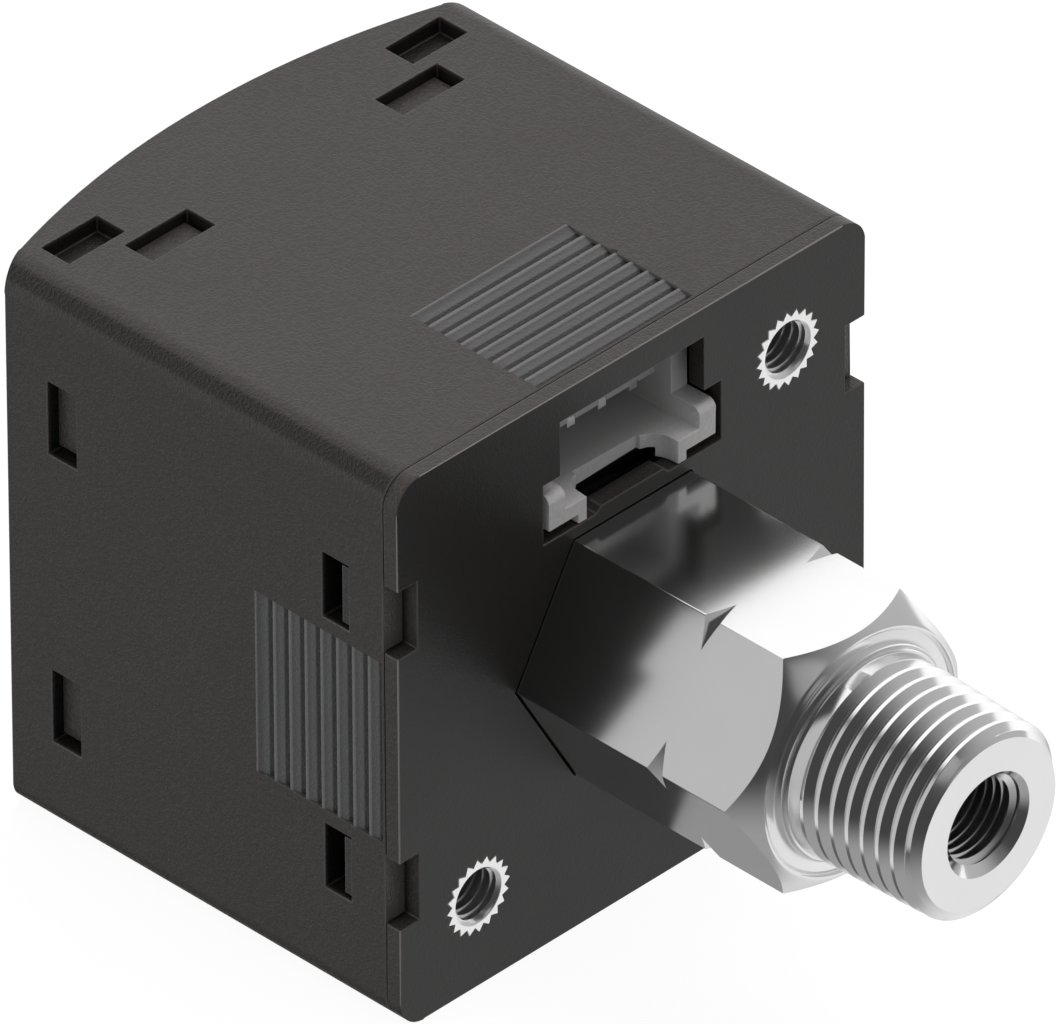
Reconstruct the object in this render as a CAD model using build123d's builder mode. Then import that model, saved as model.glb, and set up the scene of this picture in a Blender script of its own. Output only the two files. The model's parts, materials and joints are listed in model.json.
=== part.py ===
"""Compact digital pressure sensor: a 30 mm square moulded case with a display and three keys in
front, a latched rear cover with a wire socket and two threaded inserts, and a plated metal port.

Frame: the origin is on the port axis at the shoulder where the process thread begins.
+Y runs out of the port, the display faces -Y, +Z is up. Depths are measured from the rear face,
towards the display. All sizes are in millimetres.
"""
from build123d import *
from math import cos, pi, radians, sin, sqrt
import os

os.makedirs("parts", exist_ok=True)

# Case
PORT_OUT = 14.6         # the port's shoulder stands this far out of the rear face
REAR = -PORT_OUT        # y of the rear face
SIZE = 30.0             # case width and height
EDGE_R = 1.5            # radius of the four long edges
WALL = 1.4              # case wall
CAVITY = SIZE - 2 * WALL
FRONT_R = 44.7          # plan radius of the convex front
FRONT_D = 27.4          # depth of the front at the middle
COVER_T = 0.85          # rear cover at its rim
SEAM = 0.10             # seam that shows between cover and case
SEAT_INSET = 0.25       # how far in from the rim the cover sits down on the case
RIM_CHAMFER = 0.06
RIM_T = 1.0             # locating rim under the cover
RIM_DEEP = 1.2
ARM_CLEAR = 0.1         # rim and latch arms stay this clear of the case wall
RIM_OUT = CAVITY - 2 * ARM_CLEAR

# Grip ribs
GRIP_W = 10.0           # width of a ribbed patch
GRIP_START = 1.05       # depth of the first groove
GRIP_PITCH = 1.0
GRIP_COUNT = 8
GRIP_DEEP = 0.34

# Rear latches: windows in the case walls, hooks on the cover
REAR_WIN_START = 3.1
REAR_WIN_L = 1.65
REAR_WIN_D = (REAR_WIN_START, REAR_WIN_START + REAR_WIN_L)
REAR_WIN_W = 3.55
REAR_WIN_EDGE = 7.5     # case edge to the middle of a window
REAR_WIN_AT = SIZE / 2 - REAR_WIN_EDGE
REAR_HOOK_FIT = 0.2     # hook in its window, each side
REAR_HOOK_W = REAR_WIN_W - 2 * REAR_HOOK_FIT
REAR_HOOK_DROP = 0.12   # hook face below the case surface
REAR_HOOK_LEN = 0.5
REAR_ARM_PAST = 0.55    # latch arms reach this far past the windows
NOTCH_W = 3.7           # mould notches in the cover's side rims, above the hooks
NOTCH_IN = 1.25

# Port fitting, in distances out of the rear face
HEX_AF = 13.0
HEX_GAP = 0.06          # around the hexagon in the cover
HEX_IN = 2.2            # the hexagon's seat inside the rear face
CORNER_BACK = 1.6       # corner chamfer begins this far behind the shoulder
HEX_CORNER_Y = PORT_OUT - CORNER_BACK
RIM_IN = 0.35           # turned sealing rim inside the hexagon's flats
RIM_R = HEX_AF / 2 - RIM_IN
RIM_LAND = 0.12
RIM_BACK = 0.35
RIM_Y = PORT_OUT - RIM_BACK
FACE_BACK = 0.5         # recessed face behind the shoulder
FACE_Y = PORT_OUT - FACE_BACK
SHOULDER_Y = PORT_OUT
THREAD_R = 4.95         # mean crest radius of the tapered 1/8 pipe thread
LIP_W = 0.25            # lip that the thread starts from
LIP_R = THREAD_R + LIP_W
LIP_ROOT = 0.3
THREAD_LEN = 7.55
END_Y = SHOULDER_Y + THREAD_LEN
END_CHAMFER = 0.5
THREAD_END = END_Y - END_CHAMFER
END_R = THREAD_R - 0.65
PORT_BORE_R = 2.067     # M5 minor radius
PORT_SINK = 0.568       # countersink of the M5 mouth
PORT_MOUTH_R = PORT_BORE_R + PORT_SINK
PORT_BORE_DEEP = 8.0
BORE_POINT = 1.0        # drill point behind the M5 bore
DUCT_R = 0.75
RING_GROOVE_BACK = 5.85     # marking groove round the hexagon's corners, behind the shoulder
RING_GROOVE_Y = PORT_OUT - RING_GROOVE_BACK
RING_GROOVE_HALF = 0.5
RING_GROOVE_DEEP = 0.636

# Barrel, gasket, bulkhead, clip and sensor cell, one behind the other
BARREL_STEP = 1.1       # barrel inside the hexagon's flats
BARREL_R = HEX_AF / 2 - BARREL_STEP
BARREL_FIT = 0.05       # radial, barrel in bulkhead
GASKET_T = 0.4
GASKET_IN = 0.1
BULK_T = 1.8
BULK_D = (HEX_IN + GASKET_T, HEX_IN + GASKET_T + BULK_T)
CLIP_T = 0.8
CLIP_FIT = 0.05
CLIP_GROOVE = 0.8       # how deep the clip's groove goes into the barrel
CLIP_OVER = 1.8         # clip round the barrel
CHAMBER_WALL = 0.75     # metal between clip groove and chamber
CHAMBER_D = BULK_D[1] + CLIP_T + CLIP_FIT + CHAMBER_WALL
SEAL_T = 0.9
SEAL_IN = 0.5
CELL_WALL = 1.5
CELL_FIT = 0.05
CELL_R = BARREL_R - CELL_WALL
CELL_T = 2.0
CELL_D = (CHAMBER_D + SEAL_T, CHAMBER_D + SEAL_T + CELL_T)
BARREL_SHORT = 0.5      # the cell stands this far out of the barrel
BARREL_END = CELL_D[1] - BARREL_SHORT
CAP_T = 0.7
CAP_WALL = 0.95
CAP_SKIRT = 1.9
CAP_LAND = 0.9          # cap over the cell's rim
CAP_GAP = 0.6           # cap to main board
CELL_PIN_W = 0.5
CELL_PITCH = 2.0

# Threaded inserts
INSERT_EDGE = 5.0       # case edge to insert axis
INSERT_OFF = SIZE / 2 - INSERT_EDGE
INSERT_AT = ((-INSERT_OFF, INSERT_OFF), (INSERT_OFF, -INSERT_OFF))
INSERT_TEETH = 20
INSERT_TURN = 88.5      # a tooth stands at this angle
INSERT_BORE_R = 1.25
INSERT_SINK = 0.225
INSERT_MOUTH_R = INSERT_BORE_R + INSERT_SINK
INSERT_LAND = 0.245
INSERT_ROOT_R = INSERT_MOUTH_R + INSERT_LAND
INSERT_TOOTH = 0.33
INSERT_TIP_R = INSERT_ROOT_R + INSERT_TOOTH
INSERT_LEN = 5.0
BOSS_WALL = 0.55
BOSS_R = INSERT_TIP_R + BOSS_WALL
BOSS_PAST = 1.2         # boss past the end of its insert
BOSS_D = INSERT_LEN + BOSS_PAST
BOSS_CLEAR = 0.3
PROP_R = 1.6            # posts of the cover that press on the main board

# Boards
BOARD_CLEAR = 0.2
BOARD_W = CAVITY - 2 * BOARD_CLEAR
BOARD_R = 0.8
MAIN_T = 0.8
MAIN_D = (CELL_D[1] + CAP_T + CAP_GAP, CELL_D[1] + CAP_T + CAP_GAP + MAIN_T)
HOLE_FIT = 0.1          # square pins in board holes, at their corners
ROUND = 8               # small hidden rounds are drawn with this many flats
POST_W = 2.0
LINK_EDGE = 1.9         # board edge to the row of link pins
LINK_Z = LINK_EDGE - BOARD_W / 2
LINK_COUNT = 7
LINK_PITCH = 2.0
LINK_PIN_W = 0.6
LINK_PIN_PAST = 0.7
LINK_H = 2.4
CHIP_W = 7.0
CHIP_T = 1.0
CHIP_LINK_GAP = 1.4
CHIP_PIN_GAP = 0.9
AMP_SIZE = (3.9, 4.9)
AMP_AT = (6.0, -3.0)
AMP_T = 1.4
CAP_SIZE = (2.0, 1.25)
CAP_AT = ((6.0, 4.2), (6.0, 6.6), (-6.0, 5.0), (-9.0, 5.0), (9.5, 4.2), (9.5, 6.6))
CAP_TALL = 0.9

# Wire connector header, between the hexagon and the case wall
HEAD_HEX_GAP = 1.25
HEAD_BASE = 0.75        # thickness of its floor
HEAD_FLOOR = (HEX_AF / 2 + HEAD_HEX_GAP, HEX_AF / 2 + HEAD_HEX_GAP + HEAD_BASE)
HEAD_CLEAR = 0.25       # to the case wall
HEAD_TOP = CAVITY / 2 - HEAD_CLEAR
HEAD_ROOF_T = 0.6
HEAD_ROOF = HEAD_TOP - HEAD_ROOF_T
HEAD_HALF = 5.35
HEAD_WALL = 1.05
HEAD_IN = HEAD_HALF - HEAD_WALL
LOBE_H = 1.85
LOBE_TOP = HEAD_FLOOR[0] + LOBE_H
LOBE_R = 0.45
TALL_D = 1.78           # depth where the side walls rise
TONGUE_D = 2.87
TONGUE_UP = 1.7         # tongue above the floor
TONGUE_T = 0.8
TONGUE_Z = (HEAD_FLOOR[1] + TONGUE_UP, HEAD_FLOOR[1] + TONGUE_UP + TONGUE_T)
SOCKET_D = 7.2
PIN_PITCH = 2.0
PIN_COUNT = 4
PIN_W = 0.5
PIN_SUNK = 0.25         # pins lie this deep in the tongue's lower side
PIN_Z = TONGUE_Z[0] + PIN_SUNK - PIN_W / 2
PIN_BACK = 0.03         # pin ends behind the tongue's edge
PIN_PAST = 0.8
SLOT_HALF = 2.05        # latch slot in the floor, and how far its mouth flares
SLOT_FLARE = 0.88
TOE_OUT = 3.475         # toes under the floor, from the slot's flare to here
TOE_H = 0.5
TOE_D = 1.2
MOUTH_SIDE = 0.35       # cover window round the header
MOUTH_BELOW = 0.55
MOUTH_STEP = 0.85       # window step above the lobes
MOUTH_TALL_SIDE = 0.3
MOUTH_TOP = 0.05
MOUTH_SILL = 0.3        # raised middle of the window's lower edge
MOUTH_SILL_HALF = 2.0
RIM_CUT_SIDE = 0.55     # the locating rim stops this far from the header

BULK_UNDER = 0.85       # bulkhead below the header's floor
BULK_Z = HEAD_FLOOR[0] - BULK_UNDER
BULK_X = INSERT_OFF - 0.5
BULK_ARM_GAP = 0.225    # bulkhead wings to the latch arms
BULK_WING = min(REAR_WIN_AT - REAR_WIN_W / 2 - BULK_ARM_GAP, BULK_Z)

# Front frame
FRAME_CLEAR = 0.05      # frame in the case
FRAME_W = CAVITY - 2 * FRAME_CLEAR
FRAME_T = 1.9
SKIRT_T = 1.0
LENS_SIDE = 0.55        # frame beside and above the lens
LENS_OVER = 2.95
LENS_T = 1.0
LENS_FIT = 0.05
LENS_W = FRAME_W - 2 * LENS_SIDE
VIEW_SIDE = 2.2         # lens seat round the view
VIEW_OVER = 1.4
VIEW_UNDER = 1.3

# Keys
KEY_EDGE = 1.1          # frame below and beside the keys
KEY_SIDE = 0.7
KEY_BAR = 0.9           # from key to key
KEY_H = 4.3
KEY_W = (FRAME_W - 2 * SKIRT_T - 2 * KEY_SIDE - 2 * KEY_BAR) / 3
KEY_Z = KEY_EDGE + KEY_H / 2 - FRAME_W / 2
KEY_AT = (-KEY_W - KEY_BAR, 0.0, KEY_W + KEY_BAR)
KEY_GAP = 0.15
KEY_PROUD = 0.15
KEY_FLANGE = 0.375
KEY_FLANGE_T = 0.6
KEY_BACK = 0.27         # flange behind the frame plate
KEY_STEM_R = 1.0
KEY_LENS_GAP = 1.25

# Display stack, from the frame plate inwards
LENS_Z = (KEY_Z + KEY_H / 2 + KEY_LENS_GAP, FRAME_W / 2 - LENS_OVER)
VIEW_W = LENS_W - 2 * VIEW_SIDE
VIEW_Z = (LENS_Z[0] + VIEW_UNDER, LENS_Z[1] - VIEW_OVER)
LCD_SIDE = 0.5
LCD_UNDER = 1.0
LCD_OVER = 1.2
LCD_W = VIEW_W + 2 * LCD_SIDE
LCD_Z = (VIEW_Z[0] - LCD_UNDER, VIEW_Z[1] + LCD_OVER)
HOLDER_SIDE = 1.1
HOLDER_END = 0.75
HOLDER_FIT = 0.05
HOLDER_CLEAR = 0.16     # holder's corners to the frame plate
LCD_T = 1.6
LIGHT_T = 1.7           # light guide between board and glass
LED_SIZE = (1.2, 2.4)
LED_T = 1.2
LED_PITCH = 6.0
LED_GAP = 0.3
LED_IN = 0.1
CONTACT_IN = 0.9        # contact strips in from the glass edge
CONTACT_W = 1.4
CONTACT_END = 1.3
SHOW_T = 1.0            # display board
SWITCH_H = 1.6
SWITCH_SIZE = (4.4, 2.9)
SWITCH_UP = 1.2         # switches above the keys' middle
SWITCH_HOLE = 1.2
PLUNGER_R = 0.9
PLUNGER_FIT = 0.05
PLUNGER_IN = 0.8
PLUNGER_OUT = 0.5


def frame_inside(x):
    """Depth of the frame plate's inner face at a distance x from the middle."""
    return FRONT_D - FRONT_R + sqrt((FRONT_R - FRAME_T) ** 2 - x ** 2)


lcd_front = frame_inside(LCD_W / 2 + HOLDER_SIDE) - HOLDER_CLEAR
LCD_D = (lcd_front - LCD_T, lcd_front)
SHOW_D = (LCD_D[0] - LIGHT_T - SHOW_T, LCD_D[0] - LIGHT_T)
SWITCH_D = SHOW_D[1] + SWITCH_H     # depth of the switch body's front

# Front latches and adapter pockets follow the display board
FRONT_WIN_AHEAD = 0.15
FRONT_WIN_L = 1.8
FRONT_WIN_D = (SHOW_D[1] + FRONT_WIN_AHEAD, SHOW_D[1] + FRONT_WIN_AHEAD + FRONT_WIN_L)
FRONT_WIN_W = 4.0
FRONT_WIN_EDGE = 7.0
FRONT_WIN_AT = SIZE / 2 - FRONT_WIN_EDGE
HOOK_FIT = 0.2          # hook in its window, each side
HOOK_DROP = 0.65        # front hooks lie this far below the case surface
HOOK_LEN = 1.25
SLIT_W = 0.4            # slits beside each hook's tongue
SLIT_L = 3.0
POCKET_AHEAD = 0.75     # from window to pocket
POCKET_L = 1.8
POCKET_D = (FRONT_WIN_D[1] + POCKET_AHEAD, FRONT_WIN_D[1] + POCKET_AHEAD + POCKET_L)
POCKET_W = 3.55
POCKET_EDGE = 4.02
POCKET_AT = SIZE / 2 - POCKET_EDGE
POCKET_DEEP = 0.9


def at_depth(depth):
    """Plane parallel to the rear face, looking into the case: sketch x is X and sketch y is Z."""
    return Plane(origin=(0, REAR - depth, 0), x_dir=(1, 0, 0), z_dir=(0, -1, 0))


def face_plane(normal):
    """Plane of an outer case face in profile: sketch x is depth, sketch y points outwards."""
    out = Vector(*normal)
    return Plane(origin=Vector(0, REAR, 0) + out * (SIZE / 2), x_dir=(0, -1, 0),
                 z_dir=Vector(0, -1, 0).cross(out))


def pin_hole(width):
    """Radius of the board hole that a square pin passes through."""
    return width * sqrt(2) / 2 + HOLE_FIT


def save(part, name):
    part.label = name
    export_step(part, f"parts/{name}.step")


FRONT_CY = REAR - FRONT_D + FRONT_R
SIDES = ((0, 0, 1), (1, 0, 0), (0, 0, -1), (-1, 0, 0))

# Toothed outline of a threaded insert
with BuildSketch() as insert_star:
    with BuildLine():
        star = []
        for i in range(INSERT_TEETH):
            tip = radians(INSERT_TURN + i * 360 / INSERT_TEETH)
            root = tip + pi / INSERT_TEETH
            star.append((INSERT_TIP_R * cos(tip), INSERT_TIP_R * sin(tip)))
            star.append((INSERT_ROOT_R * cos(root), INSERT_ROOT_R * sin(root)))
        Polyline(*star, close=True)
    make_face()

# Case: a square tube with a convex front end, bulkhead, posts, windows, notches and grip ribs
with BuildPart() as housing:
    case_start = COVER_T + SEAM
    with BuildSketch(at_depth(case_start)):
        RectangleRounded(SIZE, SIZE, EDGE_R)
    extrude(amount=FRONT_D - case_start)
    with BuildSketch(Plane.XY.offset(-SIZE / 2)):
        with Locations((0, FRONT_CY)):
            Circle(FRONT_R)
    extrude(amount=SIZE, mode=Mode.INTERSECT)
    rim = housing.faces().sort_by(Axis.Y)[-1].outer_wire()
    chamfer(rim.edges(), RIM_CHAMFER)
    with BuildSketch(at_depth(0)):
        Rectangle(CAVITY, CAVITY)
    extrude(amount=FRONT_D + 1, mode=Mode.SUBTRACT)
    with BuildSketch(at_depth(BULK_D[0])):
        Rectangle(2 * BULK_X, 2 * BULK_Z)
        Rectangle(CAVITY, 2 * BULK_WING)
        Circle(BARREL_R + BARREL_FIT, mode=Mode.SUBTRACT)
        with GridLocations(2 * INSERT_OFF, 2 * INSERT_OFF, 2, 2):
            Circle(BOSS_R + BOSS_CLEAR, mode=Mode.SUBTRACT)
    extrude(amount=BULK_D[1] - BULK_D[0])
    with BuildSketch(at_depth(MAIN_D[1])):
        with GridLocations(CAVITY - POST_W, CAVITY - POST_W, 2, 2):
            Rectangle(POST_W, POST_W)
    extrude(amount=SHOW_D[0] - MAIN_D[1])
    for side in SIDES:
        with BuildSketch(face_plane(side)) as ribs:
            with BuildLine():
                saw = [(GRIP_START, 0.2)]
                for k in range(GRIP_COUNT):
                    u = GRIP_START + k * GRIP_PITCH
                    saw += [(u, -GRIP_DEEP), (u + GRIP_PITCH, 0)]
                saw.append((GRIP_START + GRIP_COUNT * GRIP_PITCH, 0.2))
                Polyline(*saw, close=True)
            make_face()
        extrude(amount=GRIP_W / 2, both=True, mode=Mode.SUBTRACT)
        with BuildSketch(Plane(origin=Vector(0, REAR, 0) + Vector(*side) * (SIZE / 2),
                               x_dir=(0, -1, 0), z_dir=side)):
            mid = (FRONT_WIN_D[0] + FRONT_WIN_D[1]) / 2
            with Locations((mid, FRONT_WIN_AT), (mid, -FRONT_WIN_AT)):
                Rectangle(FRONT_WIN_D[1] - FRONT_WIN_D[0], FRONT_WIN_W)
            if side[0]:
                mid = (REAR_WIN_D[0] + REAR_WIN_D[1]) / 2
                with Locations((mid, REAR_WIN_AT), (mid, -REAR_WIN_AT)):
                    Rectangle(REAR_WIN_D[1] - REAR_WIN_D[0], REAR_WIN_W)
        extrude(amount=-WALL - 0.05, mode=Mode.SUBTRACT)
        if side[2]:
            with BuildSketch(Plane(origin=Vector(0, REAR, 0) + Vector(*side) * (SIZE / 2),
                                   x_dir=(0, -1, 0), z_dir=side)):
                mid = (POCKET_D[0] + POCKET_D[1]) / 2
                with Locations((mid, POCKET_AT), (mid, -POCKET_AT)):
                    Rectangle(POCKET_D[1] - POCKET_D[0], POCKET_W)
            extrude(amount=-POCKET_DEEP, mode=Mode.SUBTRACT)
save(housing.part, "housing")

# Rear cover: plate, locating rim, insert bosses, pressing posts and four side latches
with BuildPart() as rear_cover:
    with BuildSketch(at_depth(0)):
        RectangleRounded(SIZE, SIZE, EDGE_R)
    extrude(amount=COVER_T)
    with BuildSketch(at_depth(COVER_T)):
        RectangleRounded(SIZE - 2 * SEAT_INSET, SIZE - 2 * SEAT_INSET, EDGE_R - SEAT_INSET)
    extrude(amount=SEAM)
    with BuildSketch(at_depth(COVER_T + SEAM)):
        Rectangle(RIM_OUT, RIM_OUT)
        Rectangle(RIM_OUT - 2 * RIM_T, RIM_OUT - 2 * RIM_T, mode=Mode.SUBTRACT)
    extrude(amount=RIM_DEEP)
    with BuildSketch(at_depth(COVER_T)):
        with Locations(*INSERT_AT):
            Circle(BOSS_R)
    extrude(amount=BOSS_D - COVER_T)
    with BuildSketch(at_depth(COVER_T)):
        with Locations((INSERT_OFF, INSERT_OFF), (-INSERT_OFF, -INSERT_OFF)):
            Circle(PROP_R)
    extrude(amount=MAIN_D[0] - COVER_T)
    # latch arms hang from the rim and carry hooks that reach into the case windows
    with BuildSketch(at_depth(COVER_T)):
        with GridLocations(RIM_OUT - RIM_T, 2 * REAR_WIN_AT, 2, 2):
            Rectangle(RIM_T, REAR_HOOK_W)
    extrude(amount=REAR_WIN_D[1] + REAR_ARM_PAST - COVER_T)
    for sx in (1, -1):
        for sz in (1, -1):
            with BuildSketch(Plane.XY.offset(sz * REAR_WIN_AT - REAR_HOOK_W / 2)):
                with BuildLine():
                    root = sx * (RIM_OUT / 2 - 0.2)
                    tip = sx * (SIZE / 2 - REAR_HOOK_DROP)
                    Polyline((root, REAR - REAR_WIN_D[0] - 0.04),
                             (tip, REAR - REAR_WIN_D[0] - 0.04),
                             (tip, REAR - REAR_WIN_D[0] - REAR_HOOK_LEN),
                             (root, REAR - REAR_WIN_D[1] + 0.05), close=True)
                make_face()
            extrude(amount=REAR_HOOK_W)
    with BuildSketch(at_depth(0)):
        RegularPolygon(HEX_AF / 2 + HEX_GAP, 6, major_radius=False)
    extrude(amount=COVER_T + SEAM, mode=Mode.SUBTRACT)
    # stepped window for the wire plug, with a raised middle in its lower edge
    with BuildSketch(at_depth(0)):
        with BuildLine():
            wide = HEAD_HALF + MOUTH_SIDE
            tall = HEAD_IN + MOUTH_TALL_SIDE
            base = HEAD_FLOOR[0] - MOUTH_BELOW
            step = LOBE_TOP + MOUTH_STEP
            half = [(0, base + MOUTH_SILL), (MOUTH_SILL_HALF, base + MOUTH_SILL),
                    (MOUTH_SILL_HALF + MOUTH_SILL, base), (wide, base), (wide, step),
                    (tall, step), (tall, HEAD_TOP + MOUTH_TOP), (0, HEAD_TOP + MOUTH_TOP)]
            Polyline(*half)
            mirror(about=Plane.YZ)
        make_face()
    extrude(amount=COVER_T + SEAM, mode=Mode.SUBTRACT)
    with BuildSketch(at_depth(COVER_T + SEAM)):
        with Locations((0, CAVITY / 2)):
            Rectangle(2 * (HEAD_HALF + RIM_CUT_SIDE),
                      CAVITY - 2 * (HEAD_FLOOR[0] - MOUTH_BELOW - HEAD_CLEAR + MOUTH_TOP))
    extrude(amount=BOSS_D, mode=Mode.SUBTRACT)
    with BuildSketch(at_depth(0)):
        with GridLocations(SIZE - NOTCH_IN, 2 * REAR_WIN_AT, 2, 2):
            Rectangle(NOTCH_IN, NOTCH_W)
    extrude(amount=COVER_T + SEAM, mode=Mode.SUBTRACT)
    with BuildSketch(at_depth(0)):
        with Locations(*INSERT_AT):
            add(insert_star.sketch)
    extrude(amount=INSERT_LEN, mode=Mode.SUBTRACT)
save(rear_cover.part, "rear_cover")

# Two knurled M3 inserts, flush with the cover
with BuildPart() as thread_inserts:
    with BuildSketch(at_depth(0)):
        with Locations(*INSERT_AT):
            add(insert_star.sketch)
    extrude(amount=INSERT_LEN)
    with Locations(*[at_depth(0).location * Location((x, z, 0)) for x, z in INSERT_AT]):
        Cylinder(INSERT_BORE_R, INSERT_LEN, mode=Mode.SUBTRACT,
                 align=(Align.CENTER, Align.CENTER, Align.MIN))
        Cone(INSERT_MOUTH_R, INSERT_BORE_R, INSERT_MOUTH_R - INSERT_BORE_R, mode=Mode.SUBTRACT,
             align=(Align.CENTER, Align.CENTER, Align.MIN))
save(thread_inserts.part, "thread_inserts")

# Port fitting: hexagon with turned chamfer and corner groove, pipe thread, M5 mouth and barrel
with BuildPart() as port_fitting:
    with BuildSketch(at_depth(HEX_IN)):
        RegularPolygon(HEX_AF / 2, 6, major_radius=False)
    extrude(amount=-(HEX_IN + RIM_Y))
    corner_r = HEX_AF / 2 / cos(pi / 6)
    # turned envelope: keeps the chamfered end and cuts the corner groove
    with BuildSketch(Plane.YZ):
        with BuildLine():
            cone_y = HEX_CORNER_Y + corner_r - RIM_R
            g0 = RING_GROOVE_Y - RING_GROOVE_HALF
            g1 = RING_GROOVE_Y + RING_GROOVE_HALF
            Polyline((REAR - HEX_IN, 0), (REAR - HEX_IN, corner_r + 0.02),
                     (REAR + g0, corner_r + 0.02),
                     (REAR + RING_GROOVE_Y, corner_r - RING_GROOVE_DEEP),
                     (REAR + g1, corner_r + 0.02), (REAR + HEX_CORNER_Y, corner_r + 0.02),
                     (REAR + cone_y, RIM_R), (REAR + cone_y, 0), close=True)
        make_face()
    revolve(axis=Axis.Y, mode=Mode.INTERSECT)
    # shoulder recess, lip and thread body
    with BuildSketch(Plane.YZ):
        with BuildLine():
            inside = RIM_R - RIM_LAND
            Polyline((REAR + FACE_Y, inside), (REAR + FACE_Y, PORT_BORE_R),
                     (REAR + SHOULDER_Y, PORT_BORE_R), (REAR + SHOULDER_Y, inside), close=True)
        make_face()
    revolve(axis=Axis.Y, mode=Mode.SUBTRACT)
    with BuildSketch(Plane.YZ):
        with BuildLine():
            Polyline((REAR + FACE_Y, 0), (REAR + FACE_Y, LIP_R + LIP_ROOT),
                     (REAR + FACE_Y + LIP_ROOT, LIP_R), (REAR + SHOULDER_Y, LIP_R),
                     (REAR + SHOULDER_Y, THREAD_R), (REAR + THREAD_END, THREAD_R),
                     (REAR + END_Y, END_R), (REAR + END_Y, 0), close=True)
        make_face()
    revolve(axis=Axis.Y)
    with BuildSketch(Plane.YZ):
        with BuildLine():
            d0 = REAR - HEX_IN
            d1 = REAR - BARREL_END
            g0 = REAR - BULK_D[1]
            g1 = g0 - CLIP_T - CLIP_FIT
            neck = BARREL_R - CLIP_GROOVE
            Polyline((d0, 0), (d0, BARREL_R), (g0, BARREL_R), (g0, neck), (g1, neck),
                     (g1, BARREL_R), (d1, BARREL_R), (d1, 0), close=True)
        make_face()
    revolve(axis=Axis.Y)
    # way through: countersink, M5 bore, duct and the cell's chamber
    with BuildSketch(Plane.YZ):
        with BuildLine():
            Polyline((REAR + END_Y, 0), (REAR + END_Y, PORT_MOUTH_R),
                     (REAR + END_Y - PORT_SINK, PORT_BORE_R),
                     (REAR + END_Y - PORT_BORE_DEEP, PORT_BORE_R),
                     (REAR + END_Y - PORT_BORE_DEEP - BORE_POINT, DUCT_R),
                     (REAR - CHAMBER_D, DUCT_R),
                     (REAR - CHAMBER_D, CELL_R + CELL_FIT),
                     (REAR - BARREL_END, CELL_R + CELL_FIT), (REAR - BARREL_END, 0), close=True)
        make_face()
    revolve(axis=Axis.Y, mode=Mode.SUBTRACT)
save(port_fitting.part, "port_fitting")

# Flat gasket between the hexagon and the bulkhead
with BuildPart() as port_gasket:
    with BuildSketch(at_depth(HEX_IN)):
        Circle(HEX_AF / 2 - GASKET_IN)
        Circle(BARREL_R + BARREL_FIT, mode=Mode.SUBTRACT)
    extrude(amount=GASKET_T)
save(port_gasket.part, "port_gasket")

# Open spring clip that holds the barrel in the bulkhead
with BuildPart() as port_clip:
    with BuildSketch(at_depth(BULK_D[1])):
        Circle(BARREL_R + CLIP_OVER)
        Circle(BARREL_R - CLIP_GROOVE + CLIP_FIT, mode=Mode.SUBTRACT)
        with Locations((0, -(BARREL_R + CLIP_OVER))):
            Rectangle(2 * (BARREL_R - 2 * CLIP_GROOVE), BARREL_R + CLIP_OVER, mode=Mode.SUBTRACT)
    extrude(amount=CLIP_T)
save(port_clip.part, "port_clip")

# Seal, sensor cell, its cap and its pins
with BuildPart() as cell_seal:
    with BuildSketch(at_depth(CHAMBER_D)):
        Circle(CELL_R - SEAL_IN)
        Circle(CELL_R - SEAL_IN - SEAL_T, mode=Mode.SUBTRACT)
    extrude(amount=SEAL_T)
save(cell_seal.part, "cell_seal")

with BuildPart() as sensor_cell:
    with BuildSketch(at_depth(CELL_D[0])):
        Circle(CELL_R)
    extrude(amount=CELL_D[1] - CELL_D[0])
save(sensor_cell.part, "sensor_cell")

with BuildPart() as cell_cap:
    with BuildSketch(at_depth(CELL_D[1])):
        Circle(BARREL_R + BARREL_FIT + CAP_WALL)
        Circle(CELL_R - CAP_LAND, mode=Mode.SUBTRACT)
    extrude(amount=CAP_T)
    with BuildSketch(at_depth(CELL_D[1] - CAP_SKIRT)):
        Circle(BARREL_R + BARREL_FIT + CAP_WALL)
        Circle(BARREL_R + BARREL_FIT, mode=Mode.SUBTRACT)
    extrude(amount=CAP_SKIRT)
save(cell_cap.part, "cell_cap")

with BuildPart() as cell_pins:
    with BuildSketch(at_depth(CELL_D[1])):
        with GridLocations(CELL_PITCH, CELL_PITCH, 2, 2):
            Rectangle(CELL_PIN_W, CELL_PIN_W)
    extrude(amount=MAIN_D[1] + CAP_GAP - CELL_D[1])
save(cell_pins.part, "cell_pins")

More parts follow.
